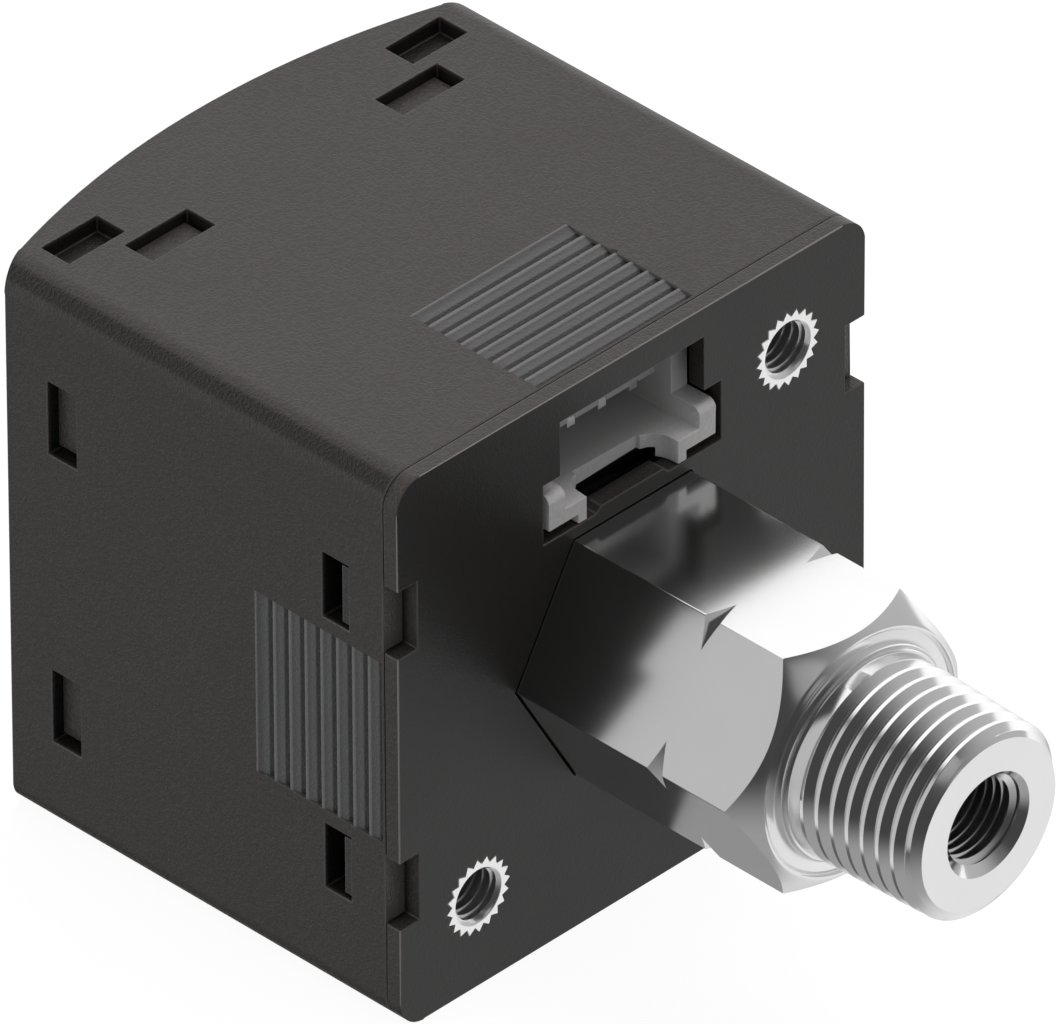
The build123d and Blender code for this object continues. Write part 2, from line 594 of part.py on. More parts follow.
# Wire connector header: floor with a flared latch slot, lobed side walls, contact tongue
with BuildPart() as connector_header:
    with BuildSketch(at_depth(TALL_D)):
        with Locations((0, (HEAD_FLOOR[0] + HEAD_TOP) / 2)):
            Rectangle(2 * HEAD_HALF, HEAD_TOP - HEAD_FLOOR[0])
    extrude(amount=MAIN_D[0] - TALL_D)
    with BuildSketch(at_depth(0)):
        with Locations((0, (HEAD_FLOOR[0] + LOBE_TOP) / 2)):
            Rectangle(2 * HEAD_HALF, LOBE_TOP - HEAD_FLOOR[0])
    extrude(amount=TALL_D)
    lobes = connector_header.edges().filter_by(Axis.X).sort_by(Axis.Y)[-2:].sort_by(Axis.Z)[-1]
    fillet(lobes, LOBE_R)
    with BuildSketch(at_depth(-0.1)):
        with Locations((0, (HEAD_FLOOR[1] + HEAD_ROOF) / 2)):
            Rectangle(2 * HEAD_IN, HEAD_ROOF - HEAD_FLOOR[1])
    extrude(amount=SOCKET_D + 0.1, mode=Mode.SUBTRACT)
    with BuildSketch(at_depth(TONGUE_D)):
        with Locations((0, (TONGUE_Z[0] + TONGUE_Z[1]) / 2)):
            Rectangle(2 * HEAD_IN, TONGUE_Z[1] - TONGUE_Z[0])
    extrude(amount=SOCKET_D - TONGUE_D)
    with BuildSketch(at_depth(0)):
        toe_w = TOE_OUT - SLOT_HALF
        toe_at = (TOE_OUT + SLOT_HALF) / 2
        toe_z = HEAD_FLOOR[0] - TOE_H / 2
        with Locations((toe_at, toe_z), (-toe_at, toe_z)):
            Rectangle(toe_w, TOE_H)
    extrude(amount=TOE_D)
    with BuildSketch(Plane.XY.offset(HEAD_FLOOR[0] - TOE_H - 0.1)):
        with BuildLine():
            mouth = SLOT_HALF + SLOT_FLARE
            lip_d = TALL_D / 4
            arc_end = (SLOT_HALF + 0.4 * SLOT_FLARE, REAR - 0.82 * TALL_D)
            Line((0, REAR + 0.1), (mouth, REAR + 0.1))
            Line((mouth, REAR + 0.1), (mouth, REAR - lip_d))
            TangentArc((mouth, REAR - lip_d), arc_end, tangent=(0, -1))
            Polyline(arc_end, (SLOT_HALF, REAR - 0.87 * TALL_D), (SLOT_HALF, REAR - TALL_D + 0.01),
                     (0, REAR - TALL_D + 0.01))
            mirror(about=Plane.YZ)
        make_face()
    extrude(amount=HEAD_FLOOR[1] - HEAD_FLOOR[0] + TOE_H + 0.2, mode=Mode.SUBTRACT)
    with BuildSketch(at_depth(TONGUE_D - 0.1)):
        with GridLocations(PIN_PITCH, 0, PIN_COUNT, 1):
            with Locations((0, PIN_Z)):
                Rectangle(PIN_W, PIN_W)
    extrude(amount=MAIN_D[0] - TONGUE_D + 0.1, mode=Mode.SUBTRACT)
save(connector_header.part, "connector_header")

with BuildPart() as connector_pins:
    with BuildSketch(at_depth(TONGUE_D + 0.03)):
        with GridLocations(PIN_PITCH, 0, PIN_COUNT, 1):
            with Locations((0, PIN_Z)):
                Rectangle(PIN_W, PIN_W)
    extrude(amount=MAIN_D[1] + 0.8 - TONGUE_D - 0.03)
save(connector_pins.part, "connector_pins")

# Main board, with holes for the header's, the cell's and the link's pins
with BuildPart() as main_board:
    with BuildSketch(at_depth(MAIN_D[0])):
        RectangleRounded(BOARD_W, BOARD_W, BOARD_R)
        with GridLocations(PIN_PITCH, 0, PIN_COUNT, 1):
            with Locations((0, PIN_Z)):
                RegularPolygon(pin_hole(PIN_W), ROUND, major_radius=False, mode=Mode.SUBTRACT)
        with GridLocations(CELL_PITCH, CELL_PITCH, 2, 2):
            RegularPolygon(pin_hole(CELL_PIN_W), ROUND, major_radius=False, mode=Mode.SUBTRACT)
        with GridLocations(LINK_PITCH, 0, LINK_COUNT, 1):
            with Locations((0, LINK_Z)):
                RegularPolygon(pin_hole(LINK_PIN_W), ROUND, major_radius=False, mode=Mode.SUBTRACT)
    extrude(amount=MAIN_D[1] - MAIN_D[0])
save(main_board.part, "main_board")

with BuildPart() as controller_chip:
    with BuildSketch(at_depth(MAIN_D[1])):
        with Locations((-(CELL_PITCH + CHIP_W) / 2 - CHIP_PIN_GAP,
                        LINK_Z + (LINK_H + CHIP_W) / 2 + CHIP_LINK_GAP)):
            Rectangle(CHIP_W, CHIP_W)
    extrude(amount=CHIP_T)
save(controller_chip.part, "controller_chip")

with BuildPart() as amplifier_chip:
    with BuildSketch(at_depth(MAIN_D[1])):
        with Locations(AMP_AT):
            Rectangle(*AMP_SIZE)
    extrude(amount=AMP_T)
save(amplifier_chip.part, "amplifier_chip")

with BuildPart() as board_capacitors:
    with BuildSketch(at_depth(MAIN_D[1])):
        with Locations(*CAP_AT):
            Rectangle(*CAP_SIZE)
    extrude(amount=CAP_TALL)
save(board_capacitors.part, "board_capacitors")

# Spacer strip and pins that join the two boards
with BuildPart() as board_link:
    with BuildSketch(at_depth(MAIN_D[1])):
        with Locations((0, LINK_Z)):
            Rectangle(LINK_COUNT * LINK_PITCH + 0.2, LINK_H)
        with GridLocations(LINK_PITCH, 0, LINK_COUNT, 1):
            with Locations((0, LINK_Z)):
                Rectangle(LINK_PIN_W, LINK_PIN_W, mode=Mode.SUBTRACT)
    extrude(amount=SHOW_D[0] - MAIN_D[1])
save(board_link.part, "board_link")

with BuildPart() as link_pins:
    with BuildSketch(at_depth(MAIN_D[0] - LINK_PIN_PAST)):
        with GridLocations(LINK_PITCH, 0, LINK_COUNT, 1):
            with Locations((0, LINK_Z)):
                Rectangle(LINK_PIN_W, LINK_PIN_W)
    extrude(amount=SHOW_D[1] - MAIN_D[0] + 2 * LINK_PIN_PAST)
save(link_pins.part, "link_pins")

# Display board
with BuildPart() as display_board:
    with BuildSketch(at_depth(SHOW_D[0])):
        RectangleRounded(BOARD_W, BOARD_W, BOARD_R)
        with GridLocations(LINK_PITCH, 0, LINK_COUNT, 1):
            with Locations((0, LINK_Z)):
                RegularPolygon(pin_hole(LINK_PIN_W), ROUND, major_radius=False, mode=Mode.SUBTRACT)
    extrude(amount=SHOW_D[1] - SHOW_D[0])
save(display_board.part, "display_board")

# Push switches, their plungers and the keys
switch_z = KEY_Z + SWITCH_UP
with BuildPart() as key_switches:
    with BuildSketch(at_depth(SHOW_D[1])):
        with Locations(*[(x, switch_z) for x in KEY_AT]):
            Rectangle(*SWITCH_SIZE)
    extrude(amount=SWITCH_D - SHOW_D[1])
    with BuildSketch(at_depth(SWITCH_D)):
        with Locations(*[(x, switch_z) for x in KEY_AT]):
            RegularPolygon(PLUNGER_R + PLUNGER_FIT, ROUND, major_radius=False)
    extrude(amount=-SWITCH_HOLE, mode=Mode.SUBTRACT)
save(key_switches.part, "key_switches")

for name, x in zip(("left", "middle", "right"), KEY_AT):
    with BuildPart() as plunger:
        with BuildSketch(at_depth(SWITCH_D - PLUNGER_IN)):
            with Locations((x, switch_z)):
                RegularPolygon(PLUNGER_R, ROUND, major_radius=False)
        extrude(amount=PLUNGER_IN + PLUNGER_OUT)
    save(plunger.part, f"plunger_{name}")

    # the cap follows the convex front; its flange lies behind the frame plate
    flange_d = frame_inside(abs(x) + KEY_W / 2 + KEY_FLANGE) - KEY_BACK
    with BuildPart() as key:
        with BuildSketch(at_depth(flange_d - KEY_FLANGE_T)):
            with Locations((x, KEY_Z)):
                Rectangle(KEY_W, KEY_H)
        extrude(amount=FRONT_D + KEY_FLANGE_T + 1 - flange_d)
        with BuildSketch(Plane.XY.offset(KEY_Z - KEY_H)):
            with Locations((0, FRONT_CY)):
                Circle(FRONT_R + KEY_PROUD)
        extrude(amount=2 * KEY_H, mode=Mode.INTERSECT)
        with BuildSketch(at_depth(flange_d - KEY_FLANGE_T)):
            with Locations((x, KEY_Z)):
                Rectangle(KEY_W + 2 * KEY_FLANGE, KEY_H)
        extrude(amount=KEY_FLANGE_T)
        with BuildSketch(at_depth(SWITCH_D + PLUNGER_OUT)):
            with Locations((x, switch_z)):
                RegularPolygon(KEY_STEM_R, ROUND, major_radius=False)
        extrude(amount=flange_d - KEY_FLANGE_T / 2 - SWITCH_D - PLUNGER_OUT)
    save(key.part, f"key_{name}")

# Display stack
lcd_mid = (LCD_Z[0] + LCD_Z[1]) / 2
lcd_h = LCD_Z[1] - LCD_Z[0]
led_x = LCD_W / 2 - LED_IN - LED_SIZE[0] / 2
with BuildPart() as light_guide:
    with BuildSketch(at_depth(SHOW_D[1])):
        with Locations((0, lcd_mid)):
            Rectangle(2 * (led_x - LED_SIZE[0] / 2 - LED_GAP),
                      lcd_h - 2 * CONTACT_IN - CONTACT_W - 2 * LED_GAP)
    extrude(amount=LCD_D[0] - SHOW_D[1])
save(light_guide.part, "light_guide")

with BuildPart() as backlight_leds:
    with BuildSketch(at_depth(SHOW_D[1])):
        with GridLocations(2 * led_x, LED_PITCH, 2, 2):
            with Locations((0, lcd_mid)):
                Rectangle(*LED_SIZE)
    extrude(amount=LED_T)
save(backlight_leds.part, "backlight_leds")

with BuildPart() as lcd_contacts:
    with BuildSketch(at_depth(SHOW_D[1])):
        with Locations((0, LCD_Z[1] - CONTACT_IN), (0, LCD_Z[0] + CONTACT_IN)):
            Rectangle(LCD_W - 2 * CONTACT_END, CONTACT_W)
    extrude(amount=LCD_D[0] - SHOW_D[1])
save(lcd_contacts.part, "lcd_contacts")

with BuildPart() as lcd_glass:
    with BuildSketch(at_depth(LCD_D[0])):
        with Locations((0, lcd_mid)):
            Rectangle(LCD_W, lcd_h)
    extrude(amount=LCD_D[1] - LCD_D[0])
save(lcd_glass.part, "lcd_glass")

with BuildPart() as display_holder:
    with BuildSketch(at_depth(SHOW_D[1])):
        with Locations((0, lcd_mid)):
            Rectangle(LCD_W + 2 * HOLDER_SIDE, lcd_h + 2 * HOLDER_END)
            Rectangle(LCD_W + 2 * HOLDER_FIT, lcd_h + 2 * HOLDER_FIT, mode=Mode.SUBTRACT)
    extrude(amount=LCD_D[1] - SHOW_D[1])
save(display_holder.part, "display_holder")

# Front frame: skirt, convex plate with lens seat and key slots, and eight latch hooks
lens_mid = (LENS_Z[0] + LENS_Z[1]) / 2
lens_h = LENS_Z[1] - LENS_Z[0]
view_mid = (VIEW_Z[0] + VIEW_Z[1]) / 2
view_h = VIEW_Z[1] - VIEW_Z[0]
with BuildPart() as front_frame:
    with BuildSketch(at_depth(SHOW_D[1])):
        Rectangle(FRAME_W, FRAME_W)
        Rectangle(FRAME_W - 2 * SKIRT_T, FRAME_W - 2 * SKIRT_T, mode=Mode.SUBTRACT)
    extrude(amount=FRONT_D - SHOW_D[1])
    with BuildSketch(Plane.XY.offset(-FRAME_W / 2)):
        with Locations((0, FRONT_CY)):
            Circle(FRONT_R)
    extrude(amount=FRAME_W, mode=Mode.INTERSECT)
    with BuildSketch(Plane.XY.offset(-FRAME_W / 2)):
        with Locations((0, FRONT_CY)):
            Circle(FRONT_R)
            Circle(FRONT_R - FRAME_T, mode=Mode.SUBTRACT)
        with Locations((0, REAR - FRONT_D)):
            Rectangle(FRAME_W, FRONT_R / 2, mode=Mode.INTERSECT)
    extrude(amount=FRAME_W)
    # lens seat, then the opening behind it
    with BuildSketch(Plane.XY.offset(LENS_Z[0] - LENS_FIT)):
        with Locations((0, FRONT_CY)):
            Circle(FRONT_R + 1)
            Circle(FRONT_R - LENS_T, mode=Mode.SUBTRACT)
        with Locations((0, REAR - FRONT_D)):
            Rectangle(LENS_W + 2 * LENS_FIT, FRONT_R / 2, mode=Mode.INTERSECT)
    extrude(amount=lens_h + 2 * LENS_FIT, mode=Mode.SUBTRACT)
    with BuildSketch(at_depth(SHOW_D[1])):
        with Locations((0, view_mid)):
            Rectangle(VIEW_W, view_h)
        with Locations(*[(x, KEY_Z) for x in KEY_AT]):
            Rectangle(KEY_W + 2 * KEY_GAP, KEY_H + 2 * KEY_GAP)
    extrude(amount=FRONT_D + 1 - SHOW_D[1], mode=Mode.SUBTRACT)
    # slits beside each hook leave a springy tongue, and the hook reaches into the case window
    for side in SIDES:
        out = Vector(*side)
        flat = Plane(origin=Vector(0, REAR, 0) + out * (FRAME_W / 2), x_dir=(0, -1, 0), z_dir=side)
        with BuildSketch(flat):
            slit_at = FRONT_WIN_W / 2 - HOOK_FIT + SLIT_W * 0.75
            with Locations(*[(SHOW_D[1] + SLIT_L / 2, sz * FRONT_WIN_AT + sw * slit_at)
                             for sz in (1, -1) for sw in (1, -1)]):
                Rectangle(SLIT_L, SLIT_W)
        extrude(amount=-SKIRT_T - 0.05, mode=Mode.SUBTRACT)
        prof = face_plane(side)
        for sz in (1, -1):
            mid = prof.offset(sz * FRONT_WIN_AT)
            with BuildSketch(mid):
                with BuildLine():
                    back = -(SIZE - FRAME_W) / 2 - 0.2
                    Polyline((FRONT_WIN_D[1] - 0.02, back), (FRONT_WIN_D[1] - 0.02, -HOOK_DROP),
                             (FRONT_WIN_D[1] - HOOK_LEN, -HOOK_DROP),
                             (FRONT_WIN_D[0] + 0.1, back), close=True)
                make_face()
            extrude(amount=FRONT_WIN_W / 2 - HOOK_FIT, both=True)
save(front_frame.part, "front_frame")

with BuildPart() as display_window:
    with BuildSketch(Plane.XY.offset(LENS_Z[0])):
        with Locations((0, FRONT_CY)):
            Circle(FRONT_R)
            Circle(FRONT_R - LENS_T, mode=Mode.SUBTRACT)
        with Locations((0, REAR - FRONT_D)):
            Rectangle(LENS_W, FRONT_R / 2, mode=Mode.INTERSECT)
    extrude(amount=lens_h)
save(display_window.part, "display_window")
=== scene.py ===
# %% [markdown]
# A small pressure sensor, seen from behind: a square moulded case, its rear cover with a wire
# socket and two threaded inserts, and a nickel-plated port with a pipe thread.
# The imported CAD model is loaded first. It fixes every size, so the looks are built on its shapes.
# Lengths in this script are in mm, and MM turns them into Blender's metres.

import json
from math import ceil, cos, hypot, pi, radians, sin, tan

import bmesh
import bpy
from mathutils import Matrix, Vector


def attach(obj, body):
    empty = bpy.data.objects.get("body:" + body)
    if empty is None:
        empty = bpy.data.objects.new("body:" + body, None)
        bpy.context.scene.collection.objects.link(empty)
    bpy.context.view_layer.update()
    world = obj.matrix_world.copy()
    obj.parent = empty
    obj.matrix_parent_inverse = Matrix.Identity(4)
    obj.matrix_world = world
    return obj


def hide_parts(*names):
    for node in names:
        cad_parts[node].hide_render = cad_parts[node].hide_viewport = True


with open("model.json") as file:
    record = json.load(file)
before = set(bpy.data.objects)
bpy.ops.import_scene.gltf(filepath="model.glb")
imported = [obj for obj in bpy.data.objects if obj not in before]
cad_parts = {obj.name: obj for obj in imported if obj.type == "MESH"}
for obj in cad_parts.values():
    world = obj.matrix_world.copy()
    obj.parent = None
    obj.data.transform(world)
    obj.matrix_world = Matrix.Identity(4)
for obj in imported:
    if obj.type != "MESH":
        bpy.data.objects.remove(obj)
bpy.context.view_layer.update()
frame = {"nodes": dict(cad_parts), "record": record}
nodes = frame["nodes"]
MM = 0.001
REAR = -14.6  # y of the cover's rear face, in mm; distances out of it are positive

# %% [markdown]
# The photograph was taken with a very long lens from behind, above and to one side, so that
# parallel edges stay almost parallel. The camera's place was worked out from the corners of the
# case, taken as 30 mm square. Its three axes are written as a rotation matrix, because a camera
# looks along its own -Z with +Y up.

# %% Camera
SHOT_FROM = (0.785413, 0.755346, 0.792505)
SHOT_RIGHT = Vector((-0.70085013, 0.71329506, -0.00438787))
SHOT_DOWN = Vector((0.41736242, 0.4050766, -0.81346269))
SHOT_INTO = Vector((-0.5784615, -0.57194677, -0.58160054))

camera_data = bpy.data.cameras.new("camera")
camera_data.sensor_width = 36
camera_data.lens = 1026.65
camera_data.clip_start = 0.05
camera_data.clip_end = 20
camera = bpy.data.objects.new("camera", camera_data)
bpy.context.collection.objects.link(camera)
axes = Matrix((SHOT_RIGHT, -SHOT_DOWN, -SHOT_INTO)).transposed()
camera.matrix_world = Matrix.Translation(SHOT_FROM) @ axes.to_4x4()
bpy.context.scene.camera = camera
bpy.context.scene.view_settings.view_transform = "Standard"
print("camera", [round(v, 3) for v in camera.location])

# %% [markdown]
# Operators act on whatever is selected, so each piece starts from an empty selection. These
# helpers are the workbench: pick one object, apply its modifiers, put its place into its mesh,
# and round its sharp edges. Real edges are never perfectly sharp, and the thin highlight on a
# rounded edge is what makes a part look moulded or machined.

# %% Workbench
def pick(obj):
    bpy.ops.object.select_all(action="DESELECT")
    obj.select_set(True)
    bpy.context.view_layer.objects.active = obj


def edit_all(obj):
    pick(obj)
    bpy.ops.object.mode_set(mode="EDIT")
    bpy.ops.mesh.select_all(action="SELECT")


def done():
    bpy.ops.object.mode_set(mode="OBJECT")


def apply_modifier(obj, kind, **settings):
    pick(obj)
    modifier = obj.modifiers.new(kind.lower(), kind)
    for key, value in settings.items():
        setattr(modifier, key, value)
    bpy.ops.object.modifier_apply(modifier=modifier.name)


def settle(obj, name):
    """Names a new piece and puts its place, turn and scale into its mesh."""
    pick(obj)
    bpy.ops.object.transform_apply(location=True, rotation=True, scale=True)
    obj.name = name
    obj.data.name = name
    return obj


def merge(obj, gap=0.0005):
    edit_all(obj)
    bpy.ops.mesh.remove_doubles(threshold=gap * MM)
    bpy.ops.mesh.normals_make_consistent(inside=False)
    done()


def soften(obj, width, segments=2, angle=30, shortest=0.3, where=None,
           mark=lambda middle: 1.0):
    """Rounds the edges sharper than the angle. Very short ones are left, and where() may choose.

    The new faces get the attribute "edge" from mark(), so that a material can paint a highlight on
    them.
    """
    edit_all(obj)
    bpy.ops.mesh.select_all(action="DESELECT")
    bpy.ops.mesh.select_mode(type="EDGE")
    work = bmesh.from_edit_mesh(obj.data)
    chosen = 0
    for edge in work.edges:
        if len(edge.link_faces) == 2 and edge.calc_face_angle() > radians(angle) \
                and edge.calc_length() > shortest * MM \
                and (where is None or where(*[v.co / MM for v in edge.verts])):
            edge.select_set(True)
            chosen += 1
    bmesh.update_edit_mesh(obj.data)
    bpy.ops.mesh.bevel(offset=width * MM, offset_type="OFFSET", segments=segments, profile=0.5,
                       affect="EDGES", clamp_overlap=False, loop_slide=False)
    work = bmesh.from_edit_mesh(obj.data)
    layer = work.faces.layers.float.get("edge") or work.faces.layers.float.new("edge")
    for face in work.faces:
        if face.select and min(e.calc_length() for e in face.edges) < 2 * width * MM:
            face[layer] = mark(face.calc_center_median() / MM)
    bmesh.update_edit_mesh(obj.data)
    done()
    return chosen


def smooth(obj, angle=35, crisp=None):
    """Smooth shading that keeps flat faces flat: big faces decide the normals at rounded edges."""
    pick(obj)
    bpy.ops.object.shade_smooth_by_angle(angle=radians(angle))
    if crisp:
        points = obj.data.vertices
        for edge in obj.data.edges:
            if crisp(*[points[i].co / MM for i in edge.vertices]):
                edge.use_edge_sharp = True
    apply_modifier(obj, "WEIGHTED_NORMAL", mode="FACE_AREA", weight=50, keep_sharp=True)


def combine(obj, tool, operation):
    apply_modifier(obj, "BOOLEAN", operation=operation, object=tool, solver="EXACT")
    bpy.data.objects.remove(tool)


def from_cad(node, name):
    """Copies a CAD node, joins its loose triangles and dissolves them into whole flat faces."""
    mesh = nodes[node].data.copy()
    obj = bpy.data.objects.new(name, mesh)
    bpy.context.collection.objects.link(obj)
    mesh.materials.clear()
    edit_all(obj)
    bpy.ops.mesh.customdata_custom_splitnormals_clear()
    bpy.ops.mesh.remove_doubles(threshold=0.0005 * MM)
    bpy.ops.mesh.dissolve_limited(angle_limit=radians(0.3))
    bpy.ops.mesh.mark_sharp(clear=True)
    done()
    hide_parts(node)
    return obj


print("workbench ready")

# %% [markdown]
# Turned metal and threads are both a profile swept round the axis. The Screw modifier does both:
# with no offset it is a lathe, and with the pitch as its offset one tooth becomes a helix. Ten
# lines of profile are easier to check against a drawing than thousands of vertices.

# %% Lathe and thread cutter
def chain(name, points):
    """An open line of (y, radius) points in mm, in the plane z = 0, to be swept round Y."""
    mesh = bpy.data.meshes.new(name)
    line = bmesh.new()
    verts = [line.verts.new((r * MM, (REAR + y) * MM, 0)) for y, r in points]
    for a, b in zip(verts, verts[1:]):
        line.edges.new((a, b))
    line.to_mesh(mesh)
    line.free()
    obj = bpy.data.objects.new(name, mesh)
    bpy.context.collection.objects.link(obj)
    return obj


def lathe(name, points, steps):
    """The closed solid that a profile from axis to axis leaves when it turns round Y."""
    obj = chain(name, points)
    apply_modifier(obj, "SCREW", axis="Y", angle=2 * pi, steps=steps, render_steps=steps,
                   screw_offset=0, use_merge_vertices=True, merge_threshold=0.0001 * MM)
    merge(obj)
    return obj


def threaded_rod(name, tooth, pitch, start, end, steps):
    """A closed rod with a right-hand thread. Its tooth is a pitch of (y, radius), root to root."""
    turns = ceil((end - start) / pitch) + 2
    obj = chain(name, [(start - pitch + y, r) for y, r in tooth])
    apply_modifier(obj, "SCREW", axis="Y", angle=2 * pi, steps=steps, render_steps=steps,
                   screw_offset=pitch * MM, iterations=turns)
    merge(obj)
    for y, side in ((start, -1), (end, 1)):
        edit_all(obj)
        bpy.ops.mesh.bisect(plane_co=(0, (REAR + y) * MM, 0), plane_no=(0, side, 0),
                            use_fill=True, clear_outer=True, threshold=0.0001 * MM)
        done()
    merge(obj)
    return obj


def rework(obj, radius_at):
    """Moves each vertex to a new radius, as a second pass of the tool would."""
    for v in obj.data.vertices:
        r = hypot(v.co.x, v.co.z) / MM
        if r > 0.01:
            k = radius_at(v.co.y / MM - REAR, r) / r
            v.co.x *= k
            v.co.z *= k


print("lathe ready")

# %% [markdown]
# The port fitting starts as a hexagonal bar. On the lathe its end gets a 45 degree chamfer, which
# leaves the curved edges on the flats, a shallow groove round its corners, a thin sealing rim
# and the shoulder of the thread. Intersecting the bar with a turned envelope does the same, and
# puts the curved edges exactly where the cutter leaves them.

# %% Hexagon and shoulder
HEX_AF = 13.0  # across the flats
CORNER_R = HEX_AF / 2 / cos(pi / 6)
HEX_START = -2.2  # the hexagon's seat, inside the rear face
HEX_END = 14.18
BAR_LENGTH = 21
BAR_MIDDLE = 10  # from the hexagon's start
BAR_ROUND = 0.06  # rounding of the bar's six long edges
CLEAR = 0.02  # the envelope passes this far outside the corners
CHAMFER = 1.18
GROOVE_AT = 8.67  # deepest line of the marking groove
GROOVE_HALF = 0.5
GROOVE_R = 6.87
FACE_Y = 14.13  # turned face between the sealing rim and the fillet
FILLET = 0.35
FILLET_R = 5.58
FILLET_STEPS = 8
SHANK_R = 5.06
SHANK_END = 15.3

bpy.ops.object.select_all(action="DESELECT")
bpy.ops.mesh.primitive_cylinder_add(vertices=6, radius=CORNER_R * MM, depth=BAR_LENGTH * MM,
                                    location=(0, (REAR + HEX_START + BAR_MIDDLE) * MM, 0),
                                    rotation=(radians(90), 0, 0))
port = bpy.context.object
for v in port.data.vertices:
    v.co = Matrix.Rotation(radians(30), 4, "Z") @ v.co
settle(port, "port_fitting_turned")
soften(port, BAR_ROUND, angle=50, shortest=10)

wide = CORNER_R + CLEAR
turned = [(HEX_START, 0), (HEX_START, wide), (GROOVE_AT - GROOVE_HALF, wide),
          (GROOVE_AT, GROOVE_R), (GROOVE_AT + GROOVE_HALF, wide), (HEX_END - CHAMFER, wide),
          (HEX_END, wide - CHAMFER)]
# the sealing rim, and the dip inside it
turned += [(14.25, wide - 1.30), (14.25, 6.13), (14.19, 6.05), (14.12, 6.0), (14.09, 5.93),
           (FACE_Y, FILLET_R)]
for i in range(1, FILLET_STEPS + 1):
    a = radians(i * 90 / FILLET_STEPS)
    turned.append((FACE_Y + FILLET * (1 - cos(a)), FILLET_R - FILLET * sin(a)))
# the shoulder, and the shank that the thread begins in
turned += [(14.56, 5.225), (14.6, 5.19), (14.61, 5.08), (14.66, SHANK_R), (SHANK_END, SHANK_R),
           (SHANK_END, 0)]
envelope = lathe("envelope", turned, 288)
combine(port, envelope, "INTERSECT")
print("hexagon", len(port.data.polygons), "faces")

# %% [markdown]
# The process thread is a tapered 1/8 pipe thread, 28 turns to the inch. In the photograph its
# crests are flat bands and its flanks broad slopes, so one tooth is drawn that way and swept as a
# helix. Then the rod is reworked: its radius shrinks by 1 in 32 along its length, the first turn
# runs out into the plain shank, and the end is chamfered.

# %% Process thread
PITCH = 0.907
CREST_R = 5.063
CREST_FLAT = 0.22
CREST_AT = 15.43  # a crest meets the +X side here, and then one every pitch
ROUND = 0.012
DEPTH = (PITCH - CREST_FLAT) / 2
ROD_START = 15.24
END_Y = 22.15
TAPER_AT = 15.52  # the taper leaves the radius as it is here
RUN_OUT_END = 15.75  # the groove is at full depth from here on
RUN_OUT = 0.5
END_R = 4.3  # the end's chamfer starts from this radius
END_SLOPE = 1.7


def pipe_tooth():
    """One pitch of the thread, root to root, as (y, radius): 45 degree flanks, a flat crest."""
    crest = CREST_R
    root = CREST_R - DEPTH
    left = (PITCH - CREST_FLAT) / 2
    right = (PITCH + CREST_FLAT) / 2
    return [(0, root + ROUND), (2 * ROUND, root + 2 * ROUND), (left - ROUND, crest - ROUND),
            (left + ROUND, crest), (right - ROUND, crest), (right + ROUND, crest - ROUND),
            (PITCH - 2 * ROUND, root + 2 * ROUND), (PITCH, root + ROUND)]


def thread_radius(y, r):
    """The taper, the shallow first turn inside the shank, and the chamfer at the end."""
    r -= (y - TAPER_AT) / 32
    if y < RUN_OUT_END:
        fill = min(1, max(0, (RUN_OUT_END - y) / RUN_OUT))
        r = max(r, SHANK_R - (1 - fill) * 0.6)
        r = min(r, CREST_R - 0.015 + max(0, y - SHANK_END))
    return min(r, END_R + max(0, END_Y - 0.01 - y) * END_SLOPE)


lead = (ROD_START + PITCH / 2 - CREST_AT) % PITCH
rod = threaded_rod("rod", pipe_tooth(), PITCH, ROD_START, END_Y, 160)
rod.data.transform(Matrix.Rotation(lead / PITCH * 2 * pi, 4, "Y"))
rework(rod, thread_radius)
print("thread", len(rod.data.polygons), "faces, lead", round(lead, 3))

# %% [markdown]
# The port's mouth has a countersink and an M5 thread. Cutting it with a threaded rod whose crests
# are the thread's major diameter leaves a real internal thread, as a tap does. Booleans need
# closed shapes, which is why each rod got its flat ends above. They also dislike two surfaces in
# one place, so the drill stays just inside the tapped hole and its countersink just outside.

# %% M5 mouth and finished port
def straight_tooth(minor, major, pitch):
    """A 60 degree tooth for a straight thread, root to root."""
    run = (major - minor) * tan(radians(30))
    flat = (pitch - 2 * run) / 3
    return [(0, minor), (2 * flat, minor), (2 * flat + run, major), (3 * flat + run, major),
            (pitch, minor)]


M5_MINOR_R = 2.067
M5_MAJOR_R = 2.36
M5_PITCH = 0.5  # as the photograph shows it, finer than the standard's 0.8
M5_BOTTOM = 13.1
SINK = 0.568  # depth of the 45 degree countersink
MOUTH_R = 2.635  # its radius at the port's end
DRILL_R = 2.05


def mouth_radius(y, r):
    """The tap widens with the countersink."""
    return max(r, MOUTH_R - (END_Y - y)) if y > END_Y - SINK else r


combine(port, rod, "UNION")
tap = threaded_rod("tap", straight_tooth(M5_MINOR_R, M5_MAJOR_R, M5_PITCH), M5_PITCH,
                   M5_BOTTOM, END_Y + 0.6, 96)
rework(tap, mouth_radius)
combine(port, tap, "DIFFERENCE")
drill = lathe("drill", [(12.0, 0), (13.2, DRILL_R), (END_Y - 0.595, DRILL_R),
                        (END_Y + 0.1, 2.745), (END_Y + 0.1, 0)], 96)
combine(port, drill, "DIFFERENCE")
merge(port, 0.002)
smooth(port, 22)
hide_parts("port_fitting")
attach(port, "case")
print("port", len(port.data.polygons), "faces")

# %% [markdown]
# The two inserts are pressed into the cover. Their knurled rim of 20 teeth is in the CAD model
# already, so its mesh is copied and only the M3 thread is cut into it.

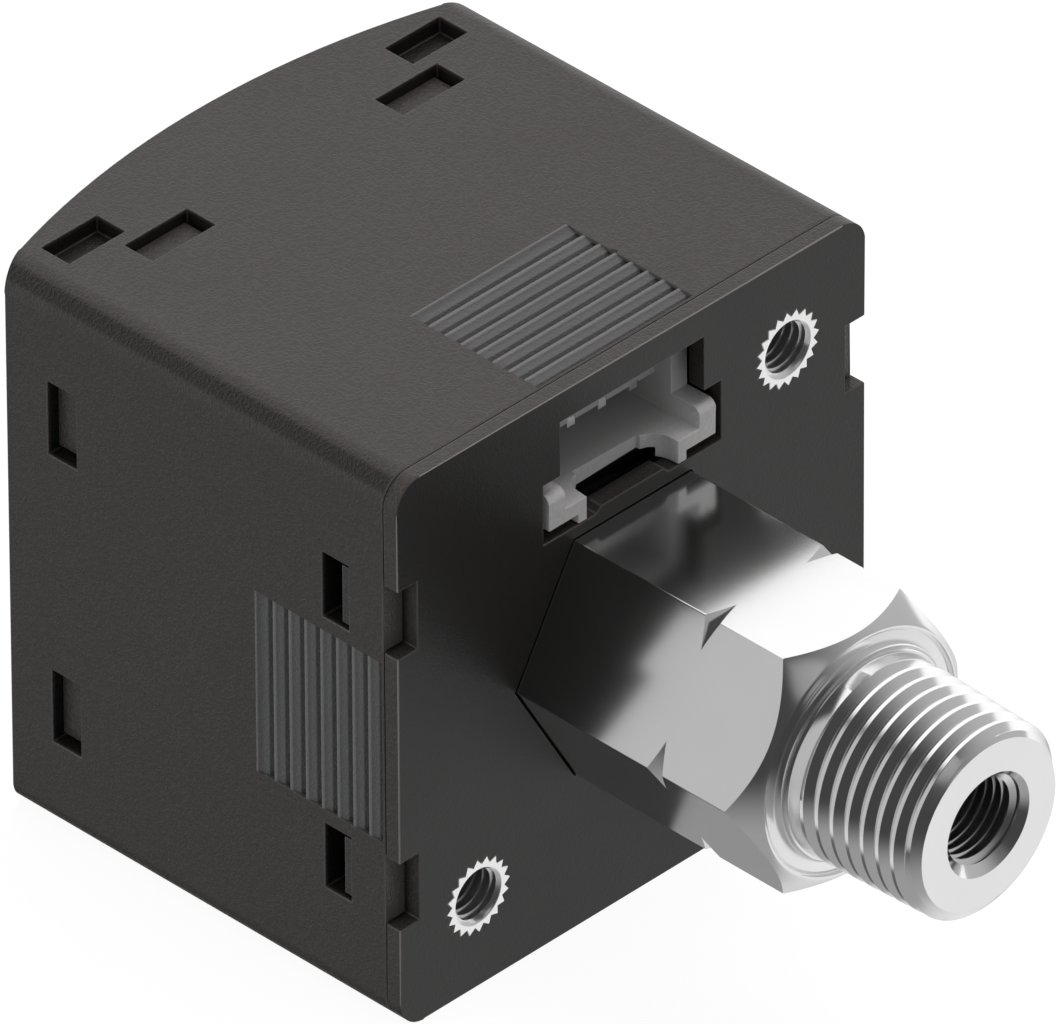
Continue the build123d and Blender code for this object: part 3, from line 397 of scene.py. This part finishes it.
# %% Threaded inserts
INSERTS_AT = ((-10, 10), (10, -10))
M3_MINOR_R = 1.24
M3_MAJOR_R = 1.5
M3_PITCH = 0.5
M3_DEEP = 4.9

inserts = from_cad("thread_inserts", "knurled_inserts")
soften(inserts, 0.03, 1, 40, 0.15)
for x, z in INSERTS_AT:
    tap = threaded_rod("tap", straight_tooth(M3_MINOR_R, M3_MAJOR_R, M3_PITCH), M3_PITCH,
                       -M3_DEEP, 0.3, 48)
    tap.data.transform(Matrix.Translation((x * MM, 0, z * MM)))
    combine(inserts, tap, "DIFFERENCE")
smooth(inserts, 30)
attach(inserts, "case")
print("inserts", len(inserts.data.polygons), "faces")

# %% [markdown]
# Case, cover, socket, front frame and keys keep their CAD shapes. Their copies only get rounded
# edges, a little rounder on the case than on the sharp cover, and soft crests on the case's
# saw-tooth ribs. Two face attributes go along for the materials: "edge" says how strong a painted
# highlight an edge gets, and "rib" marks the slopes of the ribs, which get painted light.

# %% Moulded parts
# CAD node, name of the new piece, how far its edges are rounded, material slot
MOULDED = (("housing", "case_shell", 0.07, "case_plastic"),
           ("rear_cover", "rear_cover_moulded", 0.06, "cover_plastic"),
           ("connector_header", "socket_header", 0.05, "connector_plastic"),
           ("front_frame", "front_bezel", 0.06, "case_plastic"),
           ("key_left", "key_cap_left", 0.1, "key_plastic"),
           ("key_middle", "key_cap_middle", 0.1, "key_plastic"),
           ("key_right", "key_cap_right", 0.1, "key_plastic"))
SURFACE = 15.0  # half the case's width
RIBS_HALF = 5.02
RIBS_DEPTH = (0.9, 9.2)
RIBS_IN = 0.5
RIM_DEPTH = (0.93, 1.2)  # where the case begins, beside the cover
CREST_ROUND = 0.2


def reach(p):
    """How far out of the case's axis a point lies, towards the nearest side."""
    return max(abs(p.x), abs(p.z))


def in_ribs(p):
    across = min(abs(p.x), abs(p.z))
    deep = RIBS_DEPTH[0] < REAR - p.y < RIBS_DEPTH[1]
    return across < RIBS_HALF and deep and reach(p) > SURFACE - RIBS_IN


def off_ribs(a, b):
    """Leaves out the ribs and the case's own chamfered rim, which has no room for more."""
    depths = (REAR - a.y, REAR - b.y)
    at_rim = max(depths) < RIM_DEPTH[1] and min(depths) > RIM_DEPTH[0]
    return not (in_ribs(a) or in_ribs(b) or at_rim)


def rib_ridges(a, b):
    """The crests of the ribs: long edges at the case surface, across the depth."""
    level = min(reach(a), reach(b))
    return in_ribs(a) and in_ribs(b) and abs(a.y - b.y) < 0.01 and level > SURFACE - 0.02


def mark_ribs(obj):
    """Gives the sloping faces of the ribs the attribute "rib" for their material."""
    layer = obj.data.attributes.new("rib", "FLOAT", "FACE")
    points = obj.data.vertices
    count = 0
    for face in obj.data.polygons:
        tilt = max(abs(face.normal.x), abs(face.normal.z))
        if tilt > 0.3 and all(in_ribs(points[i].co / MM) for i in face.vertices):
            layer.data[face.index].value = 1.0
            count += 1
    return count


def rib_foot(a, b):
    """The last rib's slope ends in a crisp line where it meets the flat side."""
    end = RIBS_DEPTH[1] - 0.15
    return all(in_ribs(p) and abs(REAR - p.y - end) < 0.06 for p in (a, b))


def edge_highlight_share(middle):
    """Painted highlight: outer edges get it in full, the edges of windows and notches a quarter of
    it.
    """
    return 1.0 if middle.y > REAR - 0.1 and reach(middle) > SURFACE - 0.15 else 0.25


def no_edge_highlight(middle):
    return 0.0


moulded = {}
for node, name, width, slot in MOULDED:
    piece = from_cad(node, name)
    if node == "housing":
        crests = soften(piece, CREST_ROUND, 3, 20, 2.0, rib_ridges, no_edge_highlight)
        print("rib crests", crests, "slopes", mark_ribs(piece))
    # The rounded edges get their share of painted highlight in the attribute "edge".
    print("edges", soften(piece, width, where=off_ribs, mark=edge_highlight_share))
    smooth(piece, crisp=rib_foot if node == "housing" else None)
    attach(piece, node + "_body" if node.startswith("key") else "case")
    moulded[node] = piece
    print(name, len(piece.data.polygons), "faces")

# %% [markdown]
# Materials are written as small expressions. A wrapped socket understands +, - and *, also with
# plain numbers on either side, and every operation adds the Math node that a person would add by
# hand.

# %% Shader workbench
class Value:
    """A float socket that can be used in sums."""

    def __init__(self, finish, socket):
        self.finish = finish
        self.socket = socket

    def math(self, operation, *values, clamp=False):
        return Value(self.finish, self.finish.node(
            "ShaderNodeMath", {"operation": operation, "use_clamp": clamp},
            dict(enumerate(values))).outputs[0])

    def __add__(self, other):
        return self.math("ADD", self, other)

    def __radd__(self, other):
        return self.math("ADD", other, self)

    def __sub__(self, other):
        return self.math("SUBTRACT", self, other)

    def __rsub__(self, other):
        return self.math("SUBTRACT", other, self)

    def __mul__(self, other):
        return self.math("MULTIPLY", self, other)

    def __rmul__(self, other):
        return self.math("MULTIPLY", other, self)

    def clamp(self):
        return self.math("ADD", self, 0.0, clamp=True)

    def size(self):
        return self.math("ABSOLUTE", self)

    def ramp(self, start, end, low=0.0, high=1.0):
        """A smooth step from low to high between start and end."""
        return Value(self.finish, self.finish.node(
            "ShaderNodeMapRange", {"interpolation_type": "SMOOTHSTEP"},
            {"Value": self, "From Min": start, "From Max": end, "To Min": low,
             "To Max": high}).outputs["Result"])


class Finish:
    """A material with a Principled shader, and the one method that adds nodes to it."""

    def __init__(self, name, **fixed):
        self.data = bpy.data.materials.new(name)
        self.data.use_nodes = True
        self.tree = self.data.node_tree
        self.shader = self.tree.nodes["Principled BSDF"]
        for key, value in fixed.items():
            self.shader.inputs[key.replace("_", " ")].default_value = value

    def node(self, kind, settings=None, sockets=None):
        new = self.tree.nodes.new(kind)
        for key, value in (settings or {}).items():
            setattr(new, key, value)
        for key, value in (sockets or {}).items():
            self.feed(new.inputs[key], value)
        return new

    def feed(self, socket, value):
        value = getattr(value, "socket", value)
        if isinstance(value, bpy.types.NodeSocket):
            self.tree.links.new(value, socket)
        else:
            socket.default_value = value

    def place(self):
        return self.node("ShaderNodeTexCoord").outputs["Object"]

    def noise(self, size, detail=2.0, rough=0.5):
        """Noise whose features are about size mm across, from 0 to 1."""
        return Value(self, self.node("ShaderNodeTexNoise", {}, {
            "Vector": self.place(), "Scale": 1 / (size * MM), "Detail": detail,
            "Roughness": rough}).outputs["Fac"])

    def attribute(self, name):
        """A face attribute of the mesh, 0 where it has none."""
        source = self.node("ShaderNodeAttribute", {"attribute_name": name})
        return Value(self, source.outputs["Fac"])

    def split(self, vector):
        """The x, y and z of a vector."""
        parts = self.node("ShaderNodeSeparateXYZ", {}, {0: vector}).outputs
        return [Value(self, part) for part in parts]

    def mix(self, factor, a, b):
        new = self.node("ShaderNodeMix", {"data_type": "RGBA"})
        for socket, value in zip((new.inputs[0], new.inputs[6], new.inputs[7]), (factor, a, b)):
            self.feed(socket, value)
        return new.outputs[2]

    def bump(self, height, depth):
        """Relief of the given depth in mm."""
        self.feed(self.shader.inputs["Normal"], self.node("ShaderNodeBump", {}, {
            "Height": height, "Distance": depth * MM, "Strength": 1.0}).outputs["Normal"])

    def paint(self, **sockets):
        for key, value in sockets.items():
            self.feed(self.shader.inputs[key.replace("_", " ")], value)


def shade(grey, warm=0.0):
    """A display grey from 0 to 255 as a linear colour, a little warm or cool."""
    def linear(v):
        v /= 255
        return v / 12.92 if v <= 0.04045 else ((v + 0.055) / 1.055) ** 2.4
    return (linear(grey + 1.2 * warm), linear(grey), linear(grey - 0.8 * warm), 1.0)


print("shader workbench ready")

# %% [markdown]
# The case is glass-filled plastic from a spark-eroded mould: a fine leathery grain of short
# wrinkles, slightly warm dark grey, with a dull sheen. The grain is relief: a wrinkle runs
# wherever a broad noise passes through its middle value. Edges get a painted highlight, and the
# bottoms of grooves and windows get painted shade. The ribs' slopes are painted lighter, as painted
# light that also lifts the shade at their feet, their crests get a brighter painted highlight, and
# so does the thin lip beside the cover. The cover's rear face is smoother, and painted darker than
# its rim as painted shade; the inside of its socket and the far end of the wire socket get painted
# shade too. A point's depth under the case's skin, and its depth from the rear, are read from its
# object coordinates.

# %% Plastics
def moulded_plastic(name, grey, warm, grain=0.14, relief=0.023, rough=0.42, level=0.45, shine=34,
                    grooves=0.0, rear=None, inside_grey=None):
    """grooves sets the painted shade in recesses, rear the grey of the smoother rear face, painted
    darker as shade, and inside_grey the painted-shade grey at the far end.

    Greys are display values from 0 to 255, and shine is how much lighter an edge's painted
    highlight is.
    """
    finish = Finish(name, Specular_IOR_Level=level)
    cells = finish.noise(grain, 3.0, 0.55)
    wrinkle = (1.0 - (finish.noise(grain * 2.0, 1.0) * 2.0 - 1.0).size() * 5.0).clamp()
    broad = finish.noise(6.0, 2.0)
    edge = finish.attribute("edge")
    x, y, z = finish.split(finish.place())
    tone = (cells * 0.4 + broad * 0.1 + wrinkle * 0.5).clamp()
    colour = finish.mix(tone, shade(grey - 7, warm), shade(grey + 8, warm))
    height = cells * 0.5 + wrinkle * 0.5
    if grooves or rear:
        skin = SURFACE * MM - x.size().math("MAXIMUM", x.size(), z.size())
    if grooves:
        # Painted light on the ribs: their slopes are painted lighter, most at their shaded feet,
        # and their crests get a painted highlight.
        rib = finish.attribute("rib")
        last = y.ramp((REAR - 8.7) * MM, (REAR - 8.6) * MM, 0.055 * MM, 0.0)
        crest = rib * (skin + last).ramp(0.065 * MM, 0.1 * MM, 1.0, 0.0)
        foot = skin.ramp(0.06 * MM, 0.19 * MM)
        slope = finish.mix(foot, shade(grey + 28, -1.0), shade(grey + 48, -1.0))
        slope = finish.mix(crest, slope, shade(grey + 68, 0.5))
        colour = finish.mix(rib * 0.85, colour, slope)
        # Painted shade: recesses such as windows darken with depth under the skin, and so does a
        # thin line at the foot of each rib.
        recess = skin.ramp(0.12 * MM, 0.27 * MM) * (1.0 - rib)
        deep = recess + rib * skin.ramp(0.2 * MM, 0.235 * MM)
        colour = finish.mix(deep * grooves, colour, shade(12, 1.0))
        # Painted highlight: a light line along the thin lip beside the cover.
        lip = y.ramp((REAR - 1.03) * MM, (REAR - 0.99) * MM)
        colour = finish.mix(lip * 0.7, colour, shade(grey + 50, warm))
    if rear:
        # Painted shade: the rear face gets a darker, less warm grey of its own; its relief is made
        # smoother below.
        back = y.ramp((REAR - 0.07) * MM, (REAR - 0.03) * MM)
        fine = finish.mix(tone, shade(rear - 3, warm * 0.5), shade(rear + 3, warm * 0.5))
        colour = finish.mix(back, colour, fine)
        # Painted shade: the inside of the socket behind the rear face is darkened, and its edges
        # lose the painted highlight.
        inside = y.ramp((REAR - 1.1) * MM, (REAR - 0.5) * MM, 1.0, 0.0)
        inside = inside * skin.ramp(0.1 * MM, 0.2 * MM)
        colour = finish.mix(inside, colour, shade(9, 2.5))
        edge = edge * (1.0 - inside)
        height = height * (1.0 - back * 0.75)
    if inside_grey:
        # Painted shade: the far end of the wire socket turns to the darker grey inside_grey.
        far = y.ramp((REAR - 3.0) * MM, (REAR - 1.0) * MM, 1.0, 0.0)
        colour = finish.mix(far, colour, shade(inside_grey, warm))
    # Painted highlight: edges are lightened by shine wherever the attribute "edge" says.
    finish.paint(Base_Color=finish.mix(edge, colour, shade(grey + shine, warm)),
                 Roughness=(rough - 0.05 + broad * 0.1).clamp())
    finish.bump(height, relief)
    return finish.data


case_look = moulded_plastic("case_plastic", 50, 3.0, level=0.4, shine=62, grooves=0.75)
bezel_look = moulded_plastic("bezel_plastic", 52, 2.5)
cover_look = moulded_plastic("cover_plastic", 50, 3.0, level=0.4, shine=75, rear=42)
header_look = moulded_plastic("connector_plastic", 207, 0.3, 0.15, 0.003, 0.45, shine=8,
                              inside_grey=184)
key_look = moulded_plastic("key_plastic", 70, 0.0, 0.2, 0.006, 0.45)
inner_look = moulded_plastic("inner_plastic", 40, 0.5, 0.3, 0.008, 0.6)
print("plastics ready")

# %% [markdown]
# The plated metals differ in how bright and how polished they are. A very faint fine relief
# spreads their highlights, and a broad noise keeps the polish from being perfectly even.

# %% Metals
def metal(name, grey, rough, relief):
    finish = Finish(name, Metallic=1.0)
    fine = finish.noise(0.08, 2.0)
    broad = finish.noise(3.0, 2.0)
    finish.paint(Base_Color=finish.mix(broad, shade(grey - 3), shade(grey + 3)),
                 Roughness=(rough - 0.02 + broad * 0.04).clamp())
    finish.bump(fine, relief)
    return finish.data


nickel = metal("plated_nickel", 240, 0.155, 0.000006)
insert_metal = metal("insert_nickel", 250, 0.24, 0.00005)
pin_metal = metal("pin_metal", 245, 0.3, 0.0003)
spring = metal("spring_steel", 190, 0.3, 0.0005)
print("metals ready")

# %% [markdown]
# The boards, chips, seals and display parts are inside and get plain looks: one colour that
# varies a little, and a light relief. The table below names a look for every material slot.

# %% Small parts
def plain_look(name, colour, rough, grain=0.4, relief=0.002, spread=0.12, **fixed):
    finish = Finish(name, **fixed)
    tone = finish.noise(grain, 3.0)
    light = tuple(min(1, c * (1 + spread)) for c in colour[:3]) + (1.0,)
    dark = tuple(c * (1 - spread) for c in colour[:3]) + (1.0,)
    finish.paint(Base_Color=finish.mix(tone, dark, light),
                 Roughness=(rough - 0.05 + tone * 0.1).clamp())
    finish.bump(tone, relief)
    return finish.data


LOOKS = {
    "board": plain_look("board", (0.015, 0.12, 0.045), 0.35),
    "chip": plain_look("chip", (0.02, 0.02, 0.022), 0.5),
    "ceramic": plain_look("ceramic", (0.7, 0.68, 0.62), 0.6),
    "capacitor": plain_look("capacitor", (0.36, 0.24, 0.13), 0.5),
    "rubber": plain_look("rubber", (0.02, 0.02, 0.02), 0.8),
    "diffuser": plain_look("diffuser", (0.75, 0.78, 0.76), 0.4),
    "led": plain_look("led", (0.85, 0.8, 0.5), 0.3),
    "lcd": plain_look("lcd", (0.10, 0.13, 0.10), 0.2),
    "lens": plain_look("lens", (0.012, 0.013, 0.015), 0.05, 4.0, 0.0002, Coat_Weight=0.4),
    "inner_plastic": inner_look, "spring_steel": spring, "pin_metal": pin_metal,
    "case_plastic": case_look, "cover_plastic": cover_look, "connector_plastic": header_look,
    "key_plastic": key_look, "plated_brass": nickel, "insert_brass": insert_metal,
}
print("looks:", len(LOOKS))

# %% [markdown]
# Every node and every new piece now gets the look of its material slot. A replaced node keeps its
# slot too, so the record and the picture never disagree. Only the front frame differs: it shares
# the case's plastic, but it gets no painted shade in its recesses.

# %% Give out the looks
NEW_PIECES = {"port_fitting": port, "thread_inserts": inserts, **moulded}
for part in frame["record"]["subparts"]:
    look = LOOKS[part["material_slot"]]
    if part["node"] == "front_frame":
        look = bezel_look
    for obj in (nodes[part["node"]], NEW_PIECES.get(part["node"])):
        if obj is None:
            continue
        if not obj.data.materials:
            obj.data.materials.append(look)
        for i in range(len(obj.data.materials)):
            obj.data.materials[i] = look

# %% [markdown]
# The studio is plain: a pale floor, a white surround and soft lamps. The camera sees white, and
# matt surfaces get a dimmer fill, so that colours keep their depth. Polished metal shows whatever
# stands round it, or it looks like chalk, so only its reflections see a furnished room: a white
# wall in front of the display side, a soft light from one side and a grey panel beside it, a low
# light and a grey ground, one small spot, a dark card that cuts into them, and darkness between.
# Each is a direction, and how far a reflection turns towards it gives its brightness.

# %% Surround
FILL = 0.44
DARKNESS = 0.055
FRONT = (-0.45, -0.88, -0.10)
SIDE = (-1, 0, 0.05)
PANEL = (0.72, -0.69, 0.0)
LOW = (-0.60, 0.35, -0.72)
SPOT = (-0.02, 0.91, 0.41)
CARD = (0.137, -0.583, -0.80)
DOWN = (0, 0, -1)

world = bpy.data.worlds.new("studio")
bpy.context.scene.world = world
world.use_nodes = True


class Surround(Finish):
    """The world's nodes, with the same helpers as a material."""

    def __init__(self, data):
        self.data = data
        self.tree = data.node_tree


sky = Surround(world)
toward = sky.node("ShaderNodeTexCoord").outputs["Generated"]


def facing(direction):
    """How far the view turns towards a direction: 1 straight at it, -1 away from it."""
    return Value(sky, sky.node("ShaderNodeVectorMath", {"operation": "DOT_PRODUCT"}, {
        0: toward, 1: Vector(direction).normalized()}).outputs["Value"])


front = facing(FRONT).ramp(0.235, 0.28, 0.0, 1.1) * facing(DOWN).ramp(0.0, 0.75, 1.0, 0.3)
side = facing(SIDE).ramp(-0.2, 0.9, 0.0, 0.43)
panel = facing(PANEL).ramp(0.58, 0.72, 0.0, 0.48)
low = facing(LOW).ramp(0.75, 0.95, 0.0, 0.28)
spot = facing(SPOT).ramp(0.97, 0.995, 0.0, 0.25)
card = facing(CARD).ramp(0.9, 0.955, 1.0, 0.1)
ground = facing(DOWN).ramp(0.25, 0.8, 0.0, 0.30)
around = side.math("MAXIMUM", side + low, front)
around = around.math("MAXIMUM", around, panel) + ground
mirrored = DARKNESS + spot + around * card
path = sky.node("ShaderNodeLightPath")
seen = sky.node("ShaderNodeMix", {"data_type": "FLOAT"}, {
    0: path.outputs["Is Glossy Ray"], 2: FILL, 3: mirrored}).outputs[0]
seen = Value(sky, seen).math("MAXIMUM", seen, path.outputs["Is Camera Ray"])
seen = seen.math("MAXIMUM", seen, path.outputs["Is Transmission Ray"])
backdrop = sky.tree.nodes["Background"]
sky.feed(backdrop.inputs["Strength"], seen)
backdrop.inputs["Color"].default_value = (1, 1, 1, 1)
print("surround ready")

# %% [markdown]
# The floor lies just under the case and takes its soft shadow. To the camera it is almost white,
# matt surfaces get a dimmer light from it, and reflections look through it at the surround.

# %% Floor
FLOOR_RADIUS = 300
FLOOR_Z = -15.02  # just under the case
bpy.ops.object.select_all(action="DESELECT")
bpy.ops.mesh.primitive_circle_add(vertices=96, radius=FLOOR_RADIUS * MM, fill_type="NGON",
                                  location=(0, -12 * MM, FLOOR_Z * MM))
floor = bpy.context.object
settle(floor, "floor")
pale = Finish("floor")
pale.tree.nodes.clear()
path = pale.node("ShaderNodeLightPath")
paper = pale.node("ShaderNodeBsdfDiffuse", None, {"Color": (0.8, 0.8, 0.8, 1)})
glow = pale.node("ShaderNodeEmission", None, {"Strength": 1.1})
bright = pale.node("ShaderNodeMixShader", None, {
    0: 0.85, 1: paper.outputs[0], 2: glow.outputs[0]})
matt = pale.node("ShaderNodeBsdfDiffuse", None, {"Color": (0.3, 0.3, 0.3, 1)})
clear = pale.node("ShaderNodeBsdfTransparent")
lit = pale.node("ShaderNodeMixShader", None, {
    0: path.outputs["Is Camera Ray"], 1: matt.outputs[0], 2: bright.outputs[0]})
final = pale.node("ShaderNodeMixShader", None, {
    0: path.outputs["Is Glossy Ray"], 1: lit.outputs[0], 2: clear.outputs[0]})
pale.node("ShaderNodeOutputMaterial", None, {"Surface": final.outputs[0]})
floor.data.materials.append(pale.data)
print("floor ready")

# %% [markdown]
# Two big square lamps light the plastic, a slightly rosy one overhead and a weaker one from the
# +X side. Reflections don't see them, so the metal shows only the surround.

# %% Lamps
def softbox(name, place, size, level):
    """A square lamp aimed at the sensor that adds the given share of full light."""
    data = bpy.data.lights.new(name, "AREA")
    data.shape = "SQUARE"
    data.size = size
    data.energy = level * pi * pi * Vector(place).length_squared
    lamp = bpy.data.objects.new(name, data)
    lamp.visible_glossy = False
    bpy.context.collection.objects.link(lamp)
    lamp.matrix_world = (Matrix.Translation(place)
                         @ (-Vector(place)).to_track_quat("-Z", "Y").to_matrix().to_4x4())
    return lamp


softbox("top_box", (-0.15, -0.03, 0.47), 0.4, 0.6).data.color = (1.0, 0.93, 0.94)
softbox("side_box", (0.5, -0.12, 0.12), 0.3, 0.30)

# %% [markdown]
# Last, the scene is brought up to date.

# %% Finish
bpy.context.view_layer.update()
